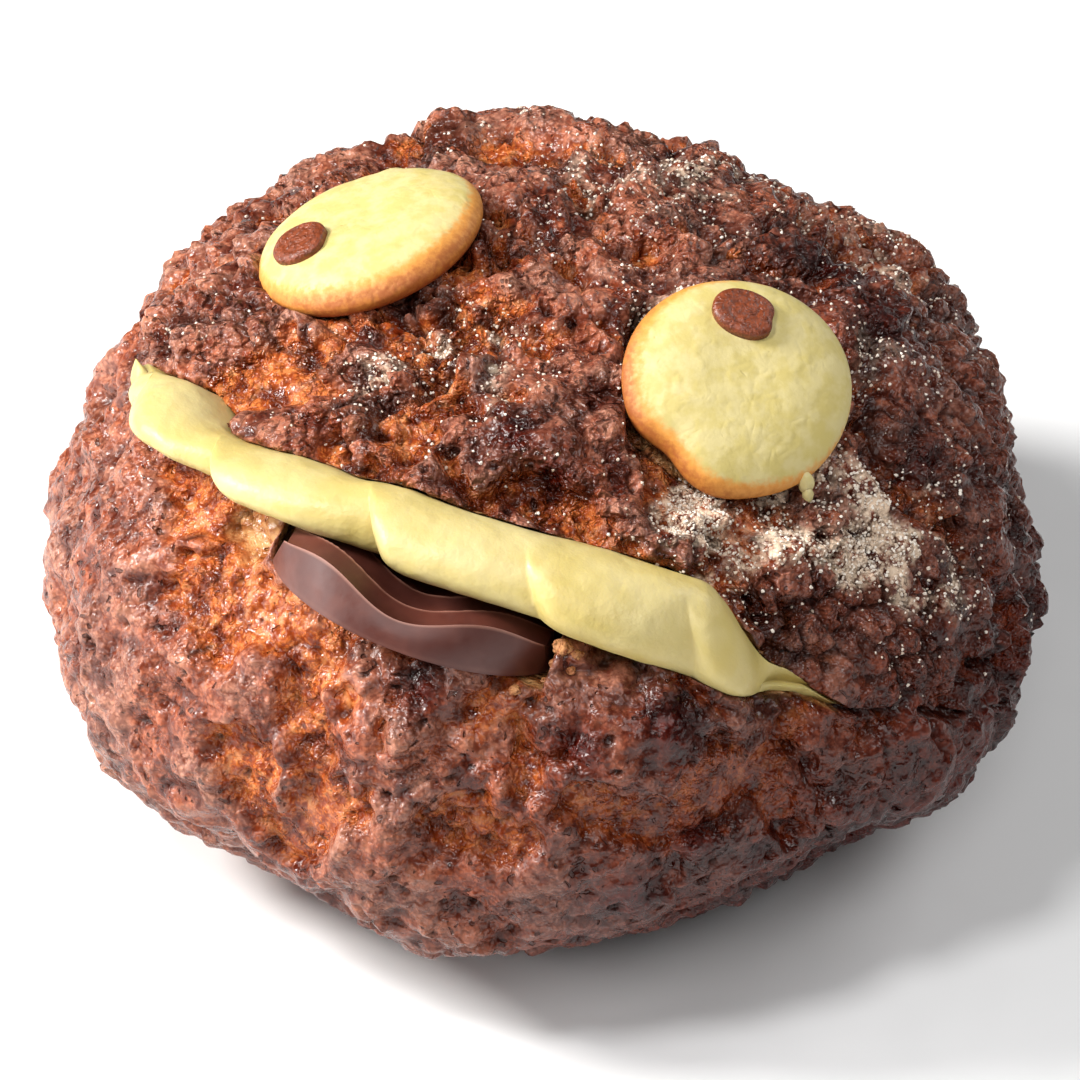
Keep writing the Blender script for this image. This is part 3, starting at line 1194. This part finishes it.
def add_drop(side, eye, material):
    """A piped drop of chocolate, with the swirl that it was piped in pressed into its top."""
    turns = np.linspace(0.0, 2.0 * math.pi, 120, endpoint=False)
    x, y = eye["drop"]
    floor = biscuit_top(math.hypot(x, y) / eye["radius"]) - DROP_SINK
    notch = np.exp(-((apart_round(turns, DROP_NOTCH) / 22.0) ** 2))
    outline = 1.0 + eye["lobe"] * (np.cos(2.0 * turns + 0.8) - 1.6 * notch)
    profile = [(0.3, 0.0), (0.99, 0.0)]
    for bend in np.linspace(0.0, math.pi / 2.0, 14):
        profile.append((0.72 + 0.28 * math.cos(bend), DROP_TALL - 0.6 + 0.6 * math.sin(bend)))
    profile += [(part, DROP_TALL) for part in np.linspace(0.7, 0.03, 26)]
    rings = []
    for share, height in profile:
        swirl = np.cos(turns - 7.0 * share) ** 8 * smoothstep(0.05, 0.3, share) * smoothstep(0.92, 0.6, share)
        level = height - 0.09 * swirl * (height > DROP_TALL - 0.3)
        rings.append(round_ring(turns, DROP_RADIUS * share * outline, level))
    local = stacked(np.array(rings))
    local[:, 2] += 0.1 * layered_noise(local, 1.8, 2, 411) * smoothstep(0.5, 1.0, local[:, 2])
    lean = Matrix.Rotation(-y * DROP_LEAN, 3, "X") @ Matrix.Rotation(x * DROP_LEAN, 3, "Y")
    local = local @ np.array(lean).T + np.array((x, y, floor))
    points = local @ eye_axes(eye) + np.array(eye["at"])
    piece = add_mesh(f"{side}_drop", points, ring_faces(len(profile), len(turns)), material)
    placed(piece, f"{side}_pupil")


# ---- crumbs and a drip of cream ----

def add_blobs(name, blobs, roughness, material):
    """Uneven rounded lumps: where each is and how long, wide and tall."""
    work = bmesh.new()
    bmesh.ops.create_icosphere(work, subdivisions=4, radius=1.0)
    form = np.array([vertex.co for vertex in work.verts])
    sides = [[vertex.index for vertex in face.verts] for face in work.faces]
    work.free()
    points = []
    faces = []
    for number, (x, y, z, *size) in enumerate(blobs):
        shift = number * 7.0
        uneven = 1.0 + roughness * layered_noise(form + shift, 0.8, 3, 501)
        points.append(form * uneven[:, None] * np.array(size) / 2.0 + np.array((x, y, z)))
        faces += [[corner + number * len(form) for corner in side] for side in sides]
    piece = add_mesh(name, np.concatenate(points), faces, material)
    placed(piece)


# ---- sugar, scattered by Geometry Nodes ----

def random_value(nodes, kind, seed, **ends):
    """A random number or vector for each grain; its sockets are numbered, as their names repeat."""
    made = nodes.tree.nodes.new("FunctionNodeRandomValue")
    made.data_type = kind
    for key, value in ends.items():
        nodes.join(value, made.inputs[int(key[-1])])
    nodes.join(seed, made.inputs["Seed"])
    return made.outputs


def scatter_tree(name):
    """Small uneven grains set on a surface, as many as its attribute called sugar asks for."""
    tree = bpy.data.node_groups.new(name, "GeometryNodeTree")
    sockets = (("Surface", "Geometry"), ("Amount", "Float"), ("Smallest", "Float"), ("Largest", "Float"),
               ("Unevenness", "Float"), ("Seed", "Int"), ("Finish", "Material"))
    for label, kind in sockets:
        tree.interface.new_socket(name=label, in_out="INPUT", socket_type="NodeSocket" + kind)
    tree.interface.new_socket(name="Grains", in_out="OUTPUT", socket_type="NodeSocketGeometry")
    nodes = Nodes(tree)
    given = nodes.node("NodeGroupInput").outputs
    cover = nodes.node("GeometryNodeInputNamedAttribute", Name="sugar").outputs["Attribute"]
    spots = nodes.node("GeometryNodeDistributePointsOnFaces", Mesh=given["Surface"],
                       Density=nodes.times(cover, given["Amount"]), Seed=given["Seed"])
    grain = nodes.node("GeometryNodeMeshIcoSphere", Radius=0.5, Subdivisions=1)
    size = random_value(nodes, "FLOAT", given["Seed"], input_2=given["Smallest"], input_3=given["Largest"])[1]
    turn = random_value(nodes, "FLOAT_VECTOR", given["Seed"], input_1=(6.28, 6.28, 6.28))[0]
    set_on = nodes.node("GeometryNodeInstanceOnPoints", Points=spots.outputs["Points"],
                        Instance=grain.outputs["Mesh"], Rotation=turn, Scale=size)
    real = nodes.node("GeometryNodeRealizeInstances", Geometry=set_on.outputs["Instances"])
    place = nodes.node("GeometryNodeInputPosition").outputs["Position"]
    uneven = nodes.node("ShaderNodeTexWhiteNoise", Vector=place).outputs["Color"]
    push = nodes.vector("SUBTRACT", uneven, (0.5, 0.5, 0.5))
    push = nodes.vector("SCALE", push, given["Unevenness"])
    shifted = nodes.node("GeometryNodeSetPosition", Geometry=real.outputs["Geometry"], Offset=push)
    coated = nodes.node("GeometryNodeSetMaterial", Geometry=shifted.outputs["Geometry"],
                        Material=given["Finish"])
    nodes.node("NodeGroupOutput", Grains=coated.outputs["Geometry"])
    return tree


def scattered(name, surface, tree, settings):
    """Runs a scatter tree on a surface and gives its grains as a piece of their own."""
    spread = surface.modifiers.new("spread", "NODES")
    spread.node_group = tree
    for item in tree.interface.items_tree:
        if item.in_out == "INPUT" and item.name in settings:
            spread[item.identifier] = settings[item.name]
    graph = bpy.context.evaluated_depsgraph_get()
    mesh = bpy.data.meshes.new_from_object(surface.evaluated_get(graph))
    surface.modifiers.remove(spread)
    piece = bpy.data.objects.new(name, mesh)
    bpy.context.scene.collection.objects.link(piece)
    return piece


def add_sugar(bun, material):
    smallest, largest = SUGAR_SIZES
    settings = dict(Amount=SUGAR_AMOUNT, Smallest=smallest * MM, Largest=largest * MM,
                    Unevenness=SUGAR_UNEVENNESS * MM, Seed=SUGAR_SEED, Finish=material)
    placed(scattered("sugar", bun, scatter_tree("sugar_scatter"), settings))


mottle = mottle_effect()
grains = grain_effect()
pores = pore_effect()
add_camera()
add_studio()
add_floor(floor_paint(mottle))
bun = add_bun(crust_paint(mottle, grains, pores))
cream = cream_paint(mottle)
add_cream(cream)
add_blobs("cream_drip", DRIP, 0.12, cream)
add_tongue(chocolate_paint(mottle))
biscuit = biscuit_paint(mottle, grains, pores)
milk_chocolate = drop_paint(mottle, grains)
for side, eye in EYES.items():
    add_biscuit(side, eye, biscuit)
    add_drop(side, eye, milk_chocolate)
add_blobs("crumbs", CRUMBS, 0.45, crumb_paint(mottle, grains))
add_sugar(bun, sugar_paint(mottle))
